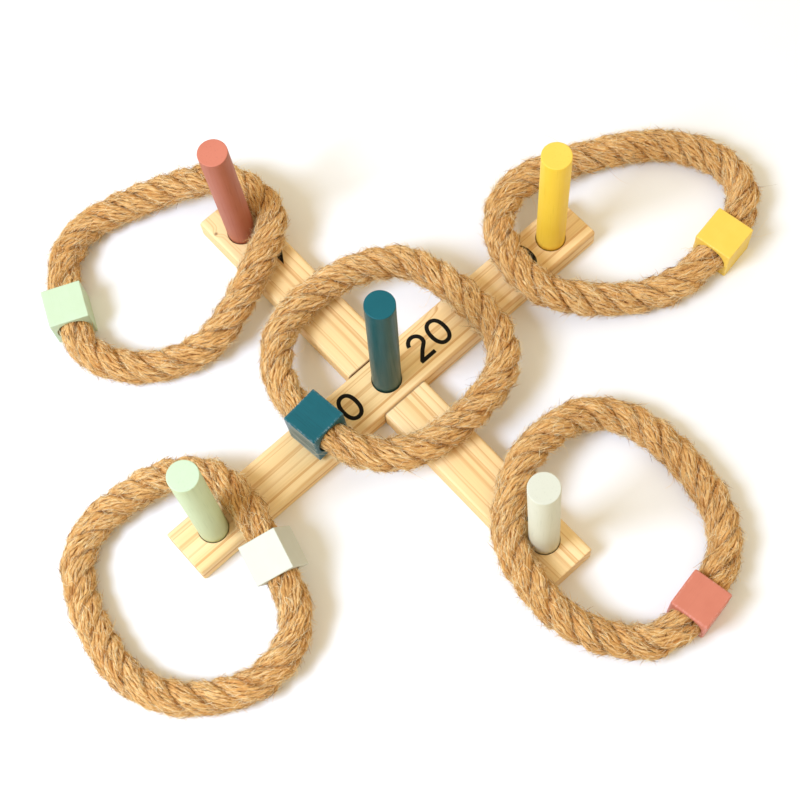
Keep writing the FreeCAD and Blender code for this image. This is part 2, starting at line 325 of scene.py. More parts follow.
def cube_material(name, colour, shade, rough, streaks, wear, ridges):
    """Paint on a cube: grain lines along its bore, worn ridges and edges rubbed lighter.

    The mesh carries each point's place in the cube's own frame, and how near an edge it is."""
    paint = Shader(name, roughness=rough, specular=0.25)
    local = paint.attribute("local", output=1)
    edge = paint.attribute("edge", output=2)
    grain = paint.noise(paint.scaled(local, (0.05, 1.6, 1.6)), 1.0, 3.0, 0.6)
    brushed = paint.noise(paint.scaled(local, (0.5, 1.2, 0.25)), 1.0, 4.0, 0.7)
    cloud = paint.noise(local, 0.08, 2.0)
    tone = paint.ramp(cloud, [(0.3, shade), (0.7, colour)])
    tone = paint.mix(1.0, tone, paint.ramp(grain, [(0.30, 1 - streaks), (0.46, 1.0)]), "MULTIPLY")
    rubbed = paint.math("MULTIPLY", edge, paint.ramp(brushed, [(0.50, 0.0), (0.62, wear)]))
    pale = tuple(min(1.0, 0.25 + 0.85 * c) for c in colour)
    tone = paint.mix(rubbed, tone, pale)
    axes = paint.tree.nodes.new("ShaderNodeSeparateXYZ")
    paint.tree.links.new(local, axes.inputs[0])
    flank = paint.math("GREATER_THAN", paint.math("ABSOLUTE", axes.outputs[1]), 13.5)
    ridge = paint.noise(paint.scaled(local, (0.03, 0.6, 0.6)), 1.0, 2.0, 0.6)
    ridge = paint.math("MULTIPLY", flank, paint.ramp(ridge, [(0.52, 0.0), (0.60, ridges)]))
    paint.link("Base Color", paint.mix(ridge, tone, pale))
    relief = paint.math("ADD", grain, paint.math("MULTIPLY", brushed, 0.6))
    paint.bump(relief, 0.35, (0.10 + 0.9 * streaks) * MM)
    return paint.material


def plain_material(name, colour, roughness, specular, noise_scale, depth):
    """A nearly even finish with a fine unevenness in colour and surface."""
    plain = Shader(name, roughness=roughness, specular=specular)
    grain = plain.noise(plain.object_place(), noise_scale, 3.0)
    low = tuple(0.88 * c for c in colour)
    plain.link("Base Color", plain.ramp(grain, [(0.3, low), (0.7, colour)]))
    plain.bump(grain, 0.3, depth)
    return plain.material


# ---------------------------------------------------------------- mesh helpers
def mesh_object(name, verts, faces, material, smooth=True):
    mesh = bpy.data.meshes.new(name)
    mesh.from_pydata([tuple(v) for v in verts], [], faces)
    mesh.materials.append(material)
    mesh.polygons.foreach_set("use_smooth", [smooth] * len(mesh.polygons))
    mesh.update()
    piece = bpy.data.objects.new(name, mesh)
    bpy.context.collection.objects.link(piece)
    return piece


def loop_mesh(loops, close_rows=False, caps=False):
    """Vertices and quads through rows of points, each row a closed loop of equal length."""
    rows, count = len(loops), len(loops[0])
    verts = [p for row in loops for p in row]
    faces = []
    for i in range(rows if close_rows else rows - 1):
        j = (i + 1) % rows
        for k in range(count):
            n = (k + 1) % count
            faces.append((i * count + k, i * count + n, j * count + n, j * count + k))
    if caps:
        verts += [sum((Vector(p) for p in loops[end]), Vector()) / count for end in (0, -1)]
        first, last = len(verts) - 2, len(verts) - 1
        base = (rows - 1) * count
        for k in range(count):
            n = (k + 1) % count
            faces.append((first, n, k))
            faces.append((last, base + k, base + n))
    return verts, faces


def array_object(name, verts, quads, material):
    """A smooth piece from arrays of points and of four-cornered faces."""
    mesh = bpy.data.meshes.new(name)
    mesh.vertices.add(len(verts))
    mesh.vertices.foreach_set("co", np.ascontiguousarray(verts, np.float32).ravel())
    mesh.loops.add(quads.size)
    mesh.loops.foreach_set("vertex_index", np.ascontiguousarray(quads, np.int32).ravel())
    mesh.polygons.add(len(quads))
    mesh.polygons.foreach_set("loop_start", np.arange(0, quads.size, 4, dtype=np.int32))
    mesh.polygons.foreach_set("use_smooth", np.ones(len(quads), bool))
    mesh.materials.append(material)
    mesh.update(calc_edges=True)
    mesh.validate()
    piece = bpy.data.objects.new(name, mesh)
    bpy.context.collection.objects.link(piece)
    return piece


def tube_rows(lines, radii, sides, first_side):
    """Ring corners of many tubes at once.

    lines is tubes x points x 3, radii is tubes x points, and first_side gives the direction of
    corner 0 at each point, so that no tube twists."""
    ahead = np.gradient(lines, axis=1)
    ahead /= np.linalg.norm(ahead, axis=2, keepdims=True) + 1e-12
    side = first_side - ahead * (first_side * ahead).sum(2, keepdims=True)
    side /= np.linalg.norm(side, axis=2, keepdims=True) + 1e-12
    other = np.cross(ahead, side)
    angle = np.arange(sides) * 2 * math.pi / sides
    ring = (side[:, :, None] * np.cos(angle)[:, None] + other[:, :, None] * np.sin(angle)[:, None])
    return lines[:, :, None] + ring * radii[:, :, None, None]


def tube_quads(tubes, points, sides):
    """Corner numbers of the quads round many tubes with the same counts."""
    tube = np.arange(tubes)[:, None, None] * points * sides
    row = np.arange(points - 1)[None, :, None] * sides
    k = np.arange(sides)[None, None, :]
    n = (k + 1) % sides
    return np.stack([tube + row + k, tube + row + n, tube + row + sides + n,
                     tube + row + sides + k], -1).reshape(-1, 4)


def store(piece, name, kind, values):
    """Keeps one number or vector for each vertex, which the material reads by its name."""
    attribute = piece.data.attributes.new(name, kind, "POINT")
    field = "vector" if kind == "FLOAT_VECTOR" else "value"
    attribute.data.foreach_set(field, np.asarray(values, np.float32).ravel())


# ---------------------------------------------------------------- slats
SLAT_WIDTH = 36.0 * MM


def finish_slats():
    """The slats keep their design shape; each gets pine that runs along it."""
    knot = ((-0.0147, 0.1629, 0.018), (1.5 * MM, 1.3 * MM, 3 * MM), 2.0 * MM, 0.8)
    side_crack = ((-0.0180, 0.1560, 0.0105), (1.0 * MM, 3.6 * MM, 0.35 * MM), 0.0, 0.7)
    scratch = ((0.0100, 0.0700, 0.018), (1.4 * MM, 0.5 * MM, 3 * MM), 0.0, 0.8)
    pale_knot = ((0.0660, 0.0200, 0.018), (5.0 * MM, 2.2 * MM, 5 * MM), 4.5 * MM, 0.10)
    looks = {
        "lower_slat": pine_material("pine_lower", along=1, pith=(-0.040, -0.030), spacing=4.8 * MM,
                                    marks=[knot, side_crack, scratch], lap_gap_shade=SLAT_WIDTH / 2),
        "upper_slat": pine_material("pine_upper", along=0, pith=(0.050, -0.030), spacing=5.6 * MM,
                                    marks=[pale_knot], lap_gap_shade=None),
    }
    for node, look in looks.items():
        slat = frame["nodes"][node]
        for k in range(len(slat.material_slots)):
            slat.material_slots[k].material = look


# ---------------------------------------------------------------- pegs
PEG_RADIUS = 10.0 * MM
PEG_FOOT = 14.5 * MM
PEG_LENGTH = 127.0 * MM
PEG_EDGE = 0.6 * MM
PEG_SIDES = 96
PEG_ROWS = 26             # along the painted shaft


def peg_piece(colour, material):
    """A turned dowel with a bare foot, a softened top edge and barely uneven sides."""
    mount = MOUNTS[colour + "_peg_free_end"]
    axis = Vector(mount["axis"]).normalized()
    wall = mount["dims"]["length_mm"] * MM
    foot = Vector(mount["pos_m"]) - axis * (PEG_FOOT + wall / 2)
    turn = axis.to_track_quat("Z", "Y").to_matrix()
    bare = PEG_RADIUS - 0.2 * MM
    profile = [(0.3 * PEG_RADIUS, 0), (PEG_RADIUS - 0.7 * MM, 0), (bare, 0.5 * MM)]
    profile += [(bare, PEG_FOOT - 0.2 * MM), (PEG_RADIUS, PEG_FOOT)]
    shaft_top = PEG_LENGTH - PEG_EDGE
    for k in range(1, PEG_ROWS + 1):
        profile.append((PEG_RADIUS, PEG_FOOT + (shaft_top - PEG_FOOT) * k / PEG_ROWS))
    for k in range(1, 7):
        bend = math.pi / 2 * k / 6
        inset = PEG_EDGE * (1 - math.cos(bend))
        profile.append((PEG_RADIUS - inset, shaft_top + PEG_EDGE * math.sin(bend)))
    profile += [(PEG_RADIUS * f, PEG_LENGTH) for f in (0.9, 0.7, 0.45, 0.2)]
    loops = []
    for radius, height in profile:
        loop = []
        for k in range(PEG_SIDES):
            angle = 2 * math.pi * k / PEG_SIDES
            way = Vector((math.cos(angle), math.sin(angle), 0))
            spot = way * 60 + Vector((0, 0, height * 900 + 31 * len(colour)))
            uneven = noise.noise(Vector((spot.x * 0.02, spot.y * 0.02, spot.z * 0.02))) * 0.10 * MM
            ridge = noise.noise(Vector((way.x * 16, way.y * 16, height * 25))) * 0.025 * MM
            reach = radius + (uneven + ridge if radius > 0.9 * PEG_RADIUS else 0)
            loop.append(foot + turn @ (way * reach + Vector((0, 0, height))))
        loops.append(loop)
    verts, faces = loop_mesh(loops, caps=True)
    piece = mesh_object(colour + "_peg_wood", verts, faces, material)
    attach(piece, colour + "_peg")
    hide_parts(colour + "_peg")


# ---------------------------------------------------------------- rings
# Each ring as the design has it: its cube's centre and turn, and the rope's route from the
# cube's front round to its back, in metres.
RINGS = {
    "mint": {
        "centre": (-0.1265, 0.1895, 0.0141), "heading": 65.8, "rise": 0.0, "roll": 0.0,
        "route": [
            (-0.081, 0.236, 0.0125), (-0.052, 0.229, 0.0125), (-0.027, 0.219, 0.0165),
            (-0.003, 0.2045, 0.023), (0.0175, 0.188, 0.0285), (0.025, 0.153, 0.0298),
            (0.016, 0.133, 0.0298), (-0.0175, 0.116, 0.0298), (-0.041, 0.107, 0.025),
            (-0.066, 0.1015, 0.018), (-0.094, 0.108, 0.012), (-0.122, 0.127, 0.0111),
        ],
    },
    "yellow": {
        "centre": (0.236, -0.082, 0.0141), "heading": 8.5, "rise": 0.0, "roll": 0.0,
        "route": [
            (0.2855, -0.044, 0.012), (0.2685, -0.005, 0.0111), (0.245, 0.015, 0.0111),
            (0.219, 0.028, 0.0135), (0.192, 0.038, 0.019), (0.160, 0.045, 0.025),
            (0.132, 0.034, 0.029), (0.116, 0.007, 0.0295), (0.115, -0.026, 0.0295),
            (0.128, -0.042, 0.022), (0.1445, -0.056, 0.015), (0.169, -0.0755, 0.012),
        ],
    },
    "teal": {
        "centre": (-0.0584, 0.0021, 0.0338), "heading": 95.4, "rise": -6.1, "roll": 1.6,
        "route": [
            (-0.042, 0.066, 0.031), (-0.014, 0.0765, 0.030), (0.0145, 0.076, 0.0295),
            (0.041, 0.069, 0.0295), (0.065, 0.052, 0.0295), (0.073, 0.026, 0.0295),
            (0.0765, -0.0015, 0.0295), (0.076, -0.030, 0.0295), (0.059, -0.0535, 0.0295),
            (0.031, -0.059, 0.0295), (0.004, -0.060, 0.030), (-0.027, -0.055, 0.031),
        ],
    },
    "white": {
        "centre": (-0.136, -0.044, 0.0274), "heading": 75.2, "rise": 9.7, "roll": -21.3,
        "route": [
            (-0.128, 0.0225, 0.031), (-0.1505, 0.048, 0.0225), (-0.179, 0.056, 0.0155),
            (-0.207, 0.059, 0.012), (-0.233, 0.047, 0.0111), (-0.247, 0.021, 0.0111),
            (-0.254, -0.006, 0.0111), (-0.257, -0.035, 0.0111), (-0.246, -0.0625, 0.0111),
            (-0.228, -0.081, 0.0111), (-0.197, -0.098, 0.0125), (-0.163, -0.094, 0.017),
        ],
    },
    "red": {
        "centre": (0.043, -0.248, 0.0141), "heading": 9.5, "rise": 0.0, "roll": 0.0,
        "route": [
            (0.0985, -0.214, 0.012), (0.105, -0.182, 0.0111), (0.105, -0.154, 0.0111),
            (0.0985, -0.126, 0.013), (0.0775, -0.106, 0.018), (0.052, -0.103, 0.026),
            (0.025, -0.1055, 0.0298), (0.0005, -0.119, 0.0298), (-0.022, -0.1405, 0.0298),
            (-0.0285, -0.170, 0.0272), (-0.0285, -0.196, 0.020), (-0.015, -0.227, 0.0125),
        ],
    },
}
CUBE_SIDE = 28.0 * MM
CUBE_EDGES = {  # the radius of each cube's sanded edges
    "mint": 0.8 * MM, "yellow": 0.8 * MM, "teal": 0.9 * MM, "white": 0.6 * MM, "red": 1.4 * MM,
}
BORE_RADIUS = 11.2 * MM
BORE_LIP = 0.35 * MM      # the rounding of the bore's rim
GLUE_HALF = 1.5 * MM      # half the glue between the rope's ends
LEAD_END = 33.0 * MM      # where the straight lead's control point is, from the cube's centre
ROPE_STEP = 1.6 * MM
LAY_LENGTH = 52.0 * MM    # one turn of a strand round the rope, right-handed
YARN_LAY = 480.0 * MM     # one turn of a yarn round its strand, left-handed
STRANDS = 3
YARNS = 15
STRAND_OFFSET = 5.85 * MM
STRAND_FLATNESS = 1.50    # how much wider a strand is across the rope than through it
YARN_OFFSET = 3.85 * MM
YARN_RADIUS = 1.16 * MM
YARN_SIDES = 6
OUTER_YARN = 6.6 * MM     # a yarn this far from the rope's middle is on its outside
CORE_SIDES = 10
CORE_RADIUS = 4.0 * MM
# The loose fibres of each rope, in two pieces: how hair_lines makes each kind, and then its
# radius, its lightness from and to, and the share of it that is dark.
FUZZ = {
    "_ring_fibres": [
        # pale fibres that lie on the yarns
        (dict(count=10000, points=4, lengths=(3 * MM, 9 * MM), lift=0.7 * MM, curl=0.10, stray=0.5),
         (0.15 * MM, (0.10, 1.25), 0.0)),
        # dark ones, pressed flat
        (dict(count=1000, points=4, lengths=(4 * MM, 10 * MM), lift=0.1 * MM, curl=0.03, stray=0.25),
         (0.16 * MM, (0.0, 0.1), 0.0)),
        # short dark flecks
        (dict(count=16, points=4, lengths=(1.2 * MM, 3.2 * MM), lift=0.8 * MM, curl=0.1, stray=0.8),
         (0.35 * MM, (0.0, 0.1), 0.0)),
    ],
    "_ring_hairs": [
        # short hairs that stand off
        (dict(count=6500, points=6, lengths=(2 * MM, 6.5 * MM), lift=2.8 * MM, curl=0.26, stray=0.65),
         (0.075 * MM, (0.65, 1.15), 0.0)),
        # a few long ones
        (dict(count=36, points=14, lengths=(10 * MM, 24 * MM), lift=6 * MM, curl=0.25, stray=0.8),
         (0.085 * MM, (0.6, 1.1), 0.08)),
    ],
}


def cube_turn(ring):
    """The turn that takes +X onto the bore's direction and rolls the cube about it."""
    heading = Matrix.Rotation(math.radians(ring["heading"]), 3, "Z")
    rise = Matrix.Rotation(math.radians(-ring["rise"]), 3, "Y")
    return heading @ rise @ Matrix.Rotation(math.radians(ring["roll"]), 3, "X")


def cube_piece(colour, ring, material):
    """A bored cube: closed loops run out through the bore, over both bored faces and round."""
    half, edge, quarter = CUBE_SIDE / 2, CUBE_EDGES[colour], 36
    count = 4 * quarter

    def square(inset):
        """A rounded square of the cube's section, pulled in by inset, with count points."""
        reach = half - inset
        corner = max(edge - inset, 0.05 * MM)
        loop = []
        for k in range(count):
            side, step = divmod(k, quarter)
            along = -1 + 2 * step / quarter
            along = math.sin(along * math.pi / 2 * 0.96) / math.sin(math.pi / 2 * 0.96)
            y, z = reach, along * reach
            if abs(z) > reach - corner:
                over = (abs(z) - reach + corner) / corner
                bend = over * math.pi / 4
                y = reach - corner + corner * math.cos(bend)
                z = math.copysign(reach - corner + corner * math.sin(bend), z)
            spin = Matrix.Rotation(side * math.pi / 2, 3, "X")
            loop.append(spin @ Vector((0, y, z)))
        return loop

    def circle(radius):
        outline = square(edge)
        return [Vector((0, p.y, p.z)).normalized() * radius for p in outline]

    def at(loop, x):
        return [Vector((x, p.y, p.z)) for p in loop]

    def half_rows(sign):
        """Rows from the bore's middle out of one end to the middle of the outside."""
        rows = [at(circle(BORE_RADIUS), sign * half * f) for f in (0.0, 0.3, 0.6, 0.85)]
        for k in range(5):
            bend = math.pi / 2 * k / 4
            rows.append(at(circle(BORE_RADIUS + BORE_LIP * (1 - math.cos(bend))),
                           sign * (half - BORE_LIP + BORE_LIP * math.sin(bend))))
        inner, outer = circle(BORE_RADIUS + BORE_LIP), square(edge)
        for k in range(1, 9):
            f = k / 8
            rows.append(at([a.lerp(b, f) for a, b in zip(inner, outer)], sign * half))
        for k in range(1, 6):
            bend = math.pi / 2 * k / 5
            rows.append(at(square(edge * (1 - math.sin(bend))),
                           sign * (half - edge * (1 - math.cos(bend)))))
        for k in range(1, 17):
            rows.append(at(square(0), sign * (half - edge) * (1 - k / 17)))
        return rows

    back, front = half_rows(-1), half_rows(1)
    middle = [at(square(0), 0)]
    loops = front + middle + back[:0:-1]
    turn, centre = cube_turn(ring), Vector(ring["centre"])
    seed = Vector((7.3 * len(colour), 1.7, 4.1 * ord(colour[0]) / 10))
    placed = []
    for loop in loops:
        row = []
        for p in loop:
            wear = noise.noise(p * 160 + seed) * 0.10 * MM
            grain = noise.noise(Vector((p.x * 90, p.y * 1100, p.z * 1100)) + seed) * 0.03 * MM
            row.append(centre + turn @ (p + p.normalized() * (wear + grain)))
        placed.append(row)
    verts, faces = loop_mesh(placed, close_rows=True)
    piece = mesh_object(colour + "_ring_block", verts, faces, material)
    local = np.array([p for loop in loops for p in loop])
    second = np.sort(np.abs(local), axis=1)[:, 1]
    store(piece, "local", "FLOAT_VECTOR", local / MM)
    store(piece, "edge", "FLOAT", np.clip((second - half + 1.5 * edge) / edge, 0, 1))
    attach(piece, colour + "_ring")
    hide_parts(colour + "_ring_cube")


def rope_line(ring):
    """Evenly spaced points along the smooth spline that the rope's route steers."""
    centre = Vector(ring["centre"])
    bore = cube_turn(ring) @ Vector((1, 0, 0))
    points = [centre + bore * GLUE_HALF, centre + bore * LEAD_END]
    points += [Vector(p) for p in ring["route"]]
    points += [centre - bore * LEAD_END, centre - bore * GLUE_HALF]
    curve = bpy.data.curves.new("route", "CURVE")
    curve.dimensions = "3D"
    curve.resolution_u = 24
    spline = curve.splines.new("NURBS")
    spline.points.add(len(points) - 1)
    for made, point in zip(spline.points, points):
        made.co = (*point, 1)
    spline.order_u = 3
    spline.use_endpoint_u = True
    holder = bpy.data.objects.new("route", curve)
    bpy.context.collection.objects.link(holder)
    bpy.context.view_layer.update()
    mesh = bpy.data.meshes.new_from_object(holder)
    line = np.array([v.co for v in mesh.vertices])
    bpy.data.objects.remove(holder)
    bpy.data.meshes.remove(mesh)
    gone = np.concatenate([[0], np.cumsum(np.linalg.norm(np.diff(line, axis=0), axis=1))])
    count = int(round(gone[-1] / ROPE_STEP)) + 1
    even = np.linspace(0, gone[-1], count)
    return np.stack([np.interp(even, gone, line[:, k]) for k in range(3)], 1), even


def carried_frames(line):
    """Two directions across the line at each point, carried along it without twist."""
    ahead = np.gradient(line, axis=0)
    ahead /= np.linalg.norm(ahead, axis=1, keepdims=True)
    side = np.cross(ahead[0], (0, 0, 1.0))
    sides = []
    for way in ahead:
        side = side - way * side.dot(way)
        side /= np.linalg.norm(side)
        sides.append(side)
    sides = np.array(sides)
    return ahead, sides, np.cross(ahead, sides)


def wobble(rng, gone, shape, waves):
    """Smooth random values along the rope, about -1 to 1, for each member of shape."""
    total = np.zeros((*shape, len(gone)))
    for wave in waves:
        phase = rng.uniform(0, 2 * math.pi, shape)
        length = wave * rng.uniform(0.75, 1.3, shape)
        total += np.sin(2 * math.pi * gone / length[..., None] + phase[..., None])
    return total / len(waves)


def lay_rope(rng, line, gone):
    """Centre lines, radii and outward directions of every yarn, and the strands' cores."""
    ahead, side, over = carried_frames(line)
    to_end = np.minimum(gone, gone[-1] - gone)
    mouth = CUBE_SIDE / 2 - GLUE_HALF
    # the rope is a little thinner inside its cube, and its thickness varies along it
    squeeze = 0.99 + 0.035 * np.clip((to_end - mouth + 2 * MM) / (6 * MM), 0, 1)
    squeeze = squeeze * (1 + 0.022 * wobble(rng, gone, (1,), (70 * MM, 31 * MM))[0])
    yarns, radii, outwards, depths, cores, core_sides = [], [], [], [], [], []
    # the lay varies too, and is looser beside the cube
    lay = LAY_LENGTH * (1 + 0.05 * wobble(rng, gone, (1,), (150 * MM,))[0])
    loosened = 1 - np.clip((to_end - mouth) / (26 * MM), 0, 1)
    lay = lay * (1 + 1.2 * loosened)
    spin = 2 * math.pi * np.cumsum(np.gradient(gone) / lay) + rng.uniform(0, 6)
    for strand in range(STRANDS):
        around = spin + strand * 2 * math.pi / STRANDS
        outward = side * np.cos(around)[:, None] + over * np.sin(around)[:, None]
        across = np.cross(ahead, outward)
        drift = wobble(rng, gone, (2,), (40 * MM, 23 * MM)) * 0.35 * MM
        offset = (STRAND_OFFSET + drift[0]) * squeeze
        centre = line + outward * offset[:, None] + across * drift[1][:, None]
        cores.append(centre)
        core_sides.append(outward)
        start = rng.uniform(0, 6)
        turn = -2 * math.pi * gone / YARN_LAY - around + start
        shift = wobble(rng, gone, (YARNS,), (26 * MM, 13 * MM)) * 0.15
        rise = wobble(rng, gone, (YARNS,), (19 * MM, 8 * MM)) * 0.34 * MM
        swell = wobble(rng, gone, (YARNS,), (17 * MM, 6 * MM)) * 0.20
        for yarn in range(YARNS):
            angle = turn + yarn * 2 * math.pi / YARNS + shift[yarn]
            reach = (YARN_OFFSET + rise[yarn]) * squeeze
            way = (outward * np.cos(angle)[:, None]
                   + across * (STRAND_FLATNESS * np.sin(angle))[:, None])
            yarns.append(centre + way * reach[:, None])
            radii.append(YARN_RADIUS * (1 + swell[yarn]) * squeeze)
            outwards.append(way / np.linalg.norm(way, axis=1, keepdims=True))
            depths.append(np.linalg.norm(yarns[-1] - line, axis=1))
    return {"yarns": np.array(yarns), "radii": np.array(radii), "outwards": np.array(outwards),
            "depths": np.array(depths), "cores": np.array(cores),
            "core_sides": np.array(core_sides), "to_end": to_end}


def rope_piece(colour, laid, rng, material):
    """The rope's yarns and the strands' cores as tubes in one mesh."""
    yarns, cores = laid["yarns"], laid["cores"]
    count = yarns.shape[1]
    rows = tube_rows(yarns, laid["radii"], YARN_SIDES, -laid["outwards"])
    core_radii = np.full(cores.shape[:2], CORE_RADIUS)
    core_rows = tube_rows(cores, core_radii, CORE_SIDES, laid["core_sides"])
    quads = np.concatenate([
        tube_quads(len(yarns), count, YARN_SIDES),
        tube_quads(len(cores), count, CORE_SIDES) + rows.size // 3,
    ])
    verts = np.concatenate([rows.reshape(-1, 3), core_rows.reshape(-1, 3)])
    piece = array_object(colour + "_ring_jute", verts, quads, material)
    along = np.arange(count) * ROPE_STEP / MM
    fibres, tones = [], []
    hue = rng.uniform(-0.12, 0.12, len(yarns))[:, None]
    # painted shade: yarns that lie deeper, nearer the rope's middle in its grooves, get a lower tone;
    # the random hue and patches on top are the jute's own tone
    deep = np.clip((laid["depths"] / MM - 3.6) / 6.2, 0, 1)
    patch = wobble(rng, along, (len(yarns),), (34, 15, 7)) * 0.09
    # painted shade: the strands' cores, seen only through gaps between the yarns, get a dark tone as
    # the shade inside the rope
    tone_and_shade = [0.60 * deep + hue + patch, np.full(cores.shape[:2], 0.24)]
    for members, sides, shade in zip((yarns, cores), (YARN_SIDES, CORE_SIDES), tone_and_shade):
        angle = np.arange(sides) * 2 * math.pi / sides
        seeds = rng.uniform(0, 400, len(members))
        fibre = np.zeros((len(members), count, sides, 3))
        fibre[..., 0] = along[None, :, None] + seeds[:, None, None]
        fibre[..., 1] = np.cos(angle) * 1.2 + along[None, :, None] * 0.12
        fibre[..., 2] = np.sin(angle) * 1.2 + seeds[:, None, None]
        fibres.append(fibre.reshape(-1, 3))
        tones.append(shade[:, :, None].repeat(sides, 2).ravel())
    store(piece, "fibre", "FLOAT_VECTOR", np.concatenate(fibres))
    store(piece, "tone", "FLOAT", np.concatenate(tones))
    return piece


def hair_lines(rng, laid, count, points, lengths, lift, curl, stray):
    """Loose fibres that start on a yarn, run along it and bend away from it.

    lift is how far their ends rise, curl how much they wave, and stray how far they leave
    the yarn's direction."""
    yarns, depths, to_end = laid["yarns"], laid["depths"], laid["to_end"]
    mouth = CUBE_SIDE / 2 - GLUE_HALF + 1 * MM
    where = np.argwhere((depths > OUTER_YARN) & (to_end > mouth)[None, :])
    pick = where[rng.integers(0, len(where), count)]
    length = rng.uniform(*lengths, count)
    base = yarns[pick[:, 0], pick[:, 1]]
    out = laid["outwards"][pick[:, 0], pick[:, 1]]
    radius = laid["radii"][pick[:, 0], pick[:, 1]]
    last = yarns.shape[1] - 1
    ahead = yarns[pick[:, 0], np.minimum(pick[:, 1] + 1, last)] - base
    ahead *= np.where(rng.random(count) < 0.5, -1, 1)[:, None]
    ahead /= np.linalg.norm(ahead, axis=1, keepdims=True) + 1e-12
    side = np.cross(out, ahead)
    tilt = rng.normal(0, stray, count)
    ahead = ahead * np.cos(tilt)[:, None] + side * np.sin(tilt)[:, None]
    side = np.cross(out, ahead)
    t = np.linspace(0, 1, points)
    swing = rng.normal(0, curl, (2, count, 1))
    phase = rng.uniform(0, 6, (count, 1))
    rise = rng.uniform(0.1, 1, (count, 1)) * lift
    forward = t * length[:, None]
    sideways = swing[0] * length[:, None] * np.sin(t * 3.2 + phase)
    sideways -= sideways[:, :1]
    upward = rise * t ** 2 + swing[1] * length[:, None] * 0.5 * np.sin(t * 4 + phase) * t
    spin = rng.uniform(-1.0, 1.0, count)
    start = base + (out * np.cos(spin)[:, None] + side * np.sin(spin)[:, None]) * radius[:, None]
    lines = (start[:, None] + ahead[:, None] * forward[:, :, None]
             + side[:, None] * sideways[:, :, None] + out[:, None] * upward[:, :, None])
    lines[..., 2] = np.maximum(lines[..., 2], 0.25 * MM)
    return lines, out


def fuzz_piece(name, rng, groups, material):
    """Many thin fibres in one mesh, each a tapering three-sided tube.

    Each group is its lines, their outward directions, their radius, their lightness from and
    to, and the share of them that is dark."""
    verts, quads, tones, fibres, base = [], [], [], [], 0
    for lines, out, radius, lightness, dark_share in groups:
        tubes, points = lines.shape[:2]
        taper = 1 - 0.75 * np.linspace(0, 1, points) ** 2
        radii = radius * rng.uniform(0.7, 1.3, (tubes, 1)) * taper
        rows = tube_rows(lines, radii, 3, np.repeat(out[:, None], points, 1))
        verts.append(rows.reshape(-1, 3))
        quads.append(tube_quads(tubes, points, 3) + base)
        base += tubes * points * 3
        tone = rng.uniform(*lightness, tubes)
        tone[rng.random(tubes) < dark_share] = 0.03
        tones.append(np.repeat(tone, points * 3))
        seed = np.repeat(rng.uniform(0, 300, tubes), points * 3)
        fibres.append(np.stack([seed, seed * 0.7, seed * 1.3], 1))
    piece = array_object(name, np.concatenate(verts), np.concatenate(quads), material)
    store(piece, "tone", "FLOAT", np.concatenate(tones))
    store(piece, "fibre", "FLOAT_VECTOR", np.concatenate(fibres))
    return piece


def glue_piece(colour, ring, material):
    """A slightly lumpy disc of hardened glue between the rope's ends."""
    turn, centre = cube_turn(ring), Vector(ring["centre"])
    loops = []
    half_profile = [(0, 10.4), (1.2, 10.2), (1.4, 9), (1.3, 6)]
    profile = [(-x, radius) for x, radius in half_profile[:0:-1]] + half_profile
    for x, radius in profile:
        loop = []
        for k in range(40):
            angle = 2 * math.pi * k / 40
            p = Vector((x, radius * math.cos(angle), radius * math.sin(angle))) * MM
            p *= 1 + 0.03 * noise.noise(p * 600)
            loop.append(centre + turn @ p)
        loops.append(loop)
    verts, faces = loop_mesh(loops, caps=True)
    piece = mesh_object(colour + "_ring_glue_disc", verts, faces, material)
    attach(piece, colour + "_ring")
    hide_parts(colour + "_ring_glue")


def add_ring(index, colour, ring, jute, fuzz, glue):
    rng = np.random.default_rng(100 + index)
    line, gone = rope_line(ring)
    laid = lay_rope(rng, line, gone)
    rope = rope_piece(colour, laid, rng, jute)
    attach(rope, colour + "_ring")
    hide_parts(colour + "_ring_rope")
    made = []
    for suffix, kinds in FUZZ.items():
        groups = [(*hair_lines(rng, laid, **lines), *look) for lines, look in kinds]
        made.append(fuzz_piece(colour + suffix, rng, groups, fuzz))
    fibres, hairs = made
    for piece in (fibres, hairs):
        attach(piece, colour + "_ring")
    cube_piece(colour, ring, cube_material("cube_" + colour, *PAINTS[colour], *CUBE_WEAR[colour]))
    glue_piece(colour, ring, glue)


# ---------------------------------------------------------------- numbers
DIGIT_HEIGHT = 20.9 * MM
DIGIT_WIDTH = 14.5 * MM
DIGIT_PITCH = 16.6 * MM
STROKE = 2.9 * MM
INK_THICKNESS = 0.04 * MM


def arc(cx, cy, rx, ry, start, stop, steps):
    """Points on an ellipse's arc, in degrees, in shares of the digit's width and height."""
    angles = [math.radians(start + (stop - start) * k / steps) for k in range(steps + 1)]
    return [(cx + rx * math.cos(a), cy + ry * math.sin(a)) for a in angles]


def oval():
    """A zero: straighter down its sides than an ellipse."""
    points = []
    for k in range(48):
        a = 2 * math.pi * k / 48
        c, s = math.cos(a), math.sin(a)
        points.append((0.5 + 0.5 * math.copysign(abs(c) ** 0.86, c),
                       0.5 + 0.5 * math.copysign(abs(s) ** 0.86, s)))
    return points


# Centre lines of the strokes of each digit, from 0 to 1 across and up; True closes a stroke.
DIGITS = {
    "0": [(oval(), True)],
    "1": [([(0.74, 0.80), (0.96, 1.0), (0.96, 0.0)], False)],
    "2": [(arc(0.47, 0.70, 0.46, 0.30, 172, -30, 26) + [(0.46, 0.33), (0.03, 0.03)], False),
          ([(-0.09, 0.0), (1.0, 0.0)], False)],
    "3": [(arc(0.48, 0.75, 0.40, 0.25, 160, -88, 22)[:-1] + [(0.38, 0.52)], False),
          ([(0.38, 0.52)] + arc(0.48, 0.26, 0.46, 0.26, 92, -165, 26), False)],
    "4": [([(0.70, 0.0), (0.70, 1.0), (0.0, 0.30), (1.0, 0.30)], False)],
    "5": [([(0.90, 1.0), (0.20, 1.0), (0.08, 0.50)] + arc(0.47, 0.33, 0.47, 0.33, 130, -160, 28),
           False)],
}


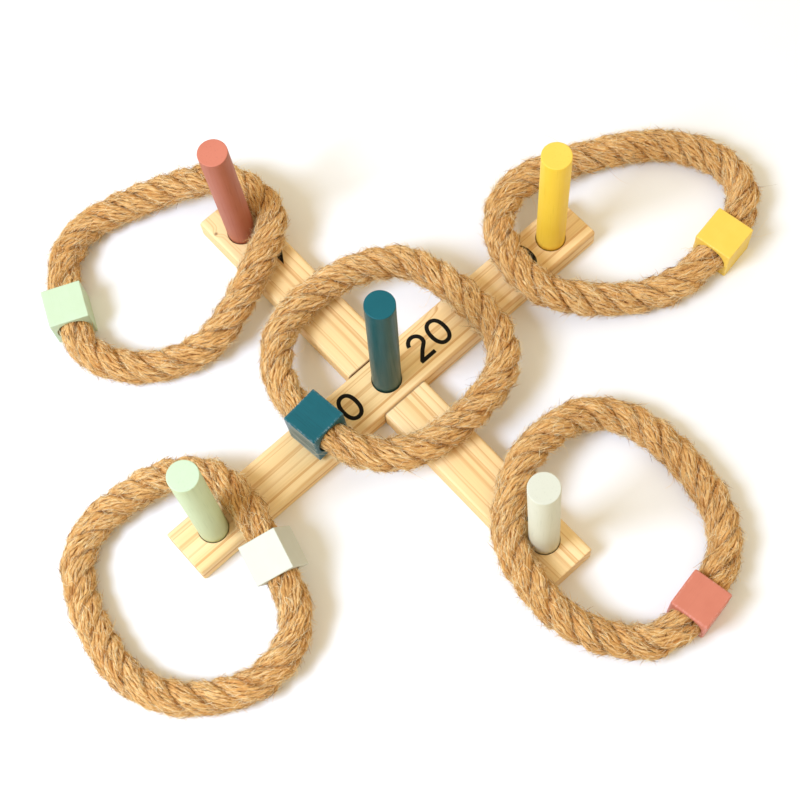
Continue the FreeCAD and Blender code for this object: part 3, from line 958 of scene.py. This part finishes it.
def stroke_strip(points, closed, half):
    """Left and right edges of a stroke around its centre line, with mitred corners."""
    count = len(points)
    left, right = [], []
    for k, p in enumerate(points):
        before = points[(k - 1) % count] if closed or k else None
        after = points[(k + 1) % count] if closed or k < count - 1 else None
        ways = []
        if before is not None:
            ways.append((p - before).normalized())
        if after is not None:
            ways.append((after - p).normalized())
        mean = sum(ways, Vector((0, 0))).normalized()
        normal = Vector((-mean.y, mean.x))
        stretch = 1 / max(abs(normal.dot(Vector((-ways[0].y, ways[0].x)))), 0.35)
        left.append(p + normal * half * stretch)
        right.append(p - normal * half * stretch)
    return left, right


def number_piece(name, text, body, middle, right, up, material):
    """Printed digits: thin ink just above the slat's top, centred on middle."""
    right, up = Vector(right), Vector(up)
    verts, faces = [], []
    inner_w, inner_h = DIGIT_WIDTH - STROKE, DIGIT_HEIGHT - STROKE
    for index, digit in enumerate(text):
        shift = (index - (len(text) - 1) / 2) * DIGIT_PITCH
        for layer, (points, closed) in enumerate(DIGITS[digit]):
            line = [Vector((shift + (x - 0.5) * inner_w, (y - 0.5) * inner_h)) for x, y in points]
            left, other = stroke_strip(line, closed, STROKE / 2)
            base = len(verts)
            for a, b in zip(left, other):
                for q in (a, b):
                    for height in (0.0, INK_THICKNESS * (1 + 0.2 * layer)):
                        spot = middle + right * q.x + up * q.y
                        verts.append(spot + Vector((0, 0, height)))
            n = len(left)
            for k in range(n if closed else n - 1):
                a, b = base + 4 * k, base + 4 * ((k + 1) % n)
                faces += [(a + 1, a + 3, b + 3, b + 1), (a, b, b + 2, a + 2),
                          (a, a + 1, b + 1, b), (a + 2, b + 2, b + 3, a + 3)]
            if not closed:
                e = base + 4 * (n - 1)
                faces += [(base, base + 2, base + 3, base + 1), (e, e + 1, e + 3, e + 2)]
    piece = mesh_object(name, verts, faces, material, smooth=False)
    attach(piece, body)


def add_numbers(ink):
    """The points for each peg, printed beside it: where, and which ways the digits face."""
    top = SLAT_TOP + 0.01 * MM
    east, west, north, south = (1, 0, 0), (-1, 0, 0), (0, 1, 0), (0, -1, 0)
    off = 1.7 * MM      # of the upper slat's middle line
    places = [
        ("number_centre_right", "20", "upper_slat", (40.0 * MM, off), east, north),
        ("number_centre_left", "20", "upper_slat", (-39.7 * MM, off), east, north),
        ("number_yellow", "10", "upper_slat", (119.7 * MM, off), east, north),
        ("number_mint", "50", "upper_slat", (-127.8 * MM, 0), south, east),
        ("number_red", "40", "lower_slat", (0, 125.2 * MM), west, south),
        ("number_white", "30", "lower_slat", (-2.2 * MM, -129.2 * MM), east, north),
    ]
    for name, text, body, (x, y), right, up in places:
        number_piece(name, text, body, Vector((x, y, top)), right, up, ink)


# ---------------------------------------------------------------- the floor
FLOOR_HALF = 4.0          # metres


def add_floor():
    """A plain pale square floor, far wider than the game."""
    floor = Shader("floor_white", roughness=0.9, specular=0.1)
    grain = floor.noise(floor.object_place(), 40.0, 2.0)
    floor.link("Base Color", floor.ramp(grain, [(0.3, 0.90), (0.7, 0.91)]))
    half = FLOOR_HALF
    verts = [(-half, -half, 0), (half, -half, 0), (half, half, 0), (-half, half, 0)]
    mesh_object("floor", verts, [(0, 1, 2, 3)], floor.material, smooth=False)


# ---------------------------------------------------------------- putting it together
PAINTS = {  # colour, its thinner shade, roughness
    "red": ((0.62, 0.204, 0.133), (0.585, 0.186, 0.12), 0.45),
    "yellow": ((0.90, 0.615, 0.100), (0.88, 0.59, 0.086), 0.45),
    "teal": ((0.005, 0.111, 0.140), (0.004, 0.100, 0.127), 0.30),
    "mint": ((0.56, 0.69, 0.480), (0.545, 0.67, 0.455), 0.5),
    "white": ((0.64, 0.64, 0.53), (0.625, 0.625, 0.51), 0.5),
}
SHAFT_LIGHT_AND_SHADE = {  # painted light and shade: the shaft's colour against the end's, for how the light falls on the upright sides
    "red": (0.78, 0.77, 0.70), "yellow": (1.08, 1.07, 0.65), "teal": (1.8, 0.77, 0.64),
    "mint": (1.07, 0.99, 0.85), "white": (1.09, 1.05, 0.95),
}
CUBE_WEAR = {  # how strong the grain lines are, the rubbed edges and the worn ridges
    "mint": (0.03, 0.2, 0.0), "yellow": (0.04, 0.5, 0.0), "teal": (0.30, 1.0, 0.9),
    "white": (0.02, 0.3, 0.0), "red": (0.05, 0.6, 0.0),
}
JUTE_STOPS = [  # the yarns' colours, from deep and dark, where painted shade lowers the tone, to raised and pale
    (0.0, (0.09, 0.028, 0.007)), (0.20, (0.33, 0.137, 0.037)), (0.42, (0.59, 0.300, 0.089)),
    (0.66, (0.77, 0.465, 0.172)), (1.0, (0.95, 0.76, 0.44)),
]
FUZZ_STOPS = [  # the loose fibres' colours
    (0.0, (0.14, 0.050, 0.014)), (0.18, (0.38, 0.165, 0.050)), (0.45, (0.74, 0.424, 0.138)),
    (0.75, (0.94, 0.675, 0.30)), (1.0, (1.0, 0.88, 0.57)),
]
GLUE_COLOUR = (0.70, 0.55, 0.30)
INK_COLOUR = (0.012, 0.010, 0.007)


def main():
    bpy.context.scene.view_settings.view_transform = "Standard"
    add_camera()
    add_world(DOME_HORIZON, DOME_ZENITH)
    add_area_light("key", KEY_DIRECTION, KEY_DISTANCE, KEY_SIZE, KEY_POWER, KEY_COLOUR)
    add_floor()
    finish_slats()
    jute = jute_material("jute", JUTE_STOPS, specular=0.2, contrast=1.15, bumpiness=0.6)
    fuzz = jute_material("jute_fuzz", FUZZ_STOPS, specular=0.0, contrast=0.4, bumpiness=0.1)
    glue = plain_material("glue_amber", GLUE_COLOUR, roughness=0.35, specular=0.5,
                          noise_scale=300.0, depth=0.1 * MM)
    ink = plain_material("ink_black", INK_COLOUR, roughness=0.7, specular=0.08,
                         noise_scale=400.0, depth=0.02 * MM)
    for colour in COLOURS:
        peg_piece(colour, paint_material("paint_" + colour, *PAINTS[colour], SHAFT_LIGHT_AND_SHADE[colour], 2))
    for index, (colour, ring) in enumerate(RINGS.items()):
        add_ring(index, colour, ring, jute, fuzz, glue)
    add_numbers(ink)


main()
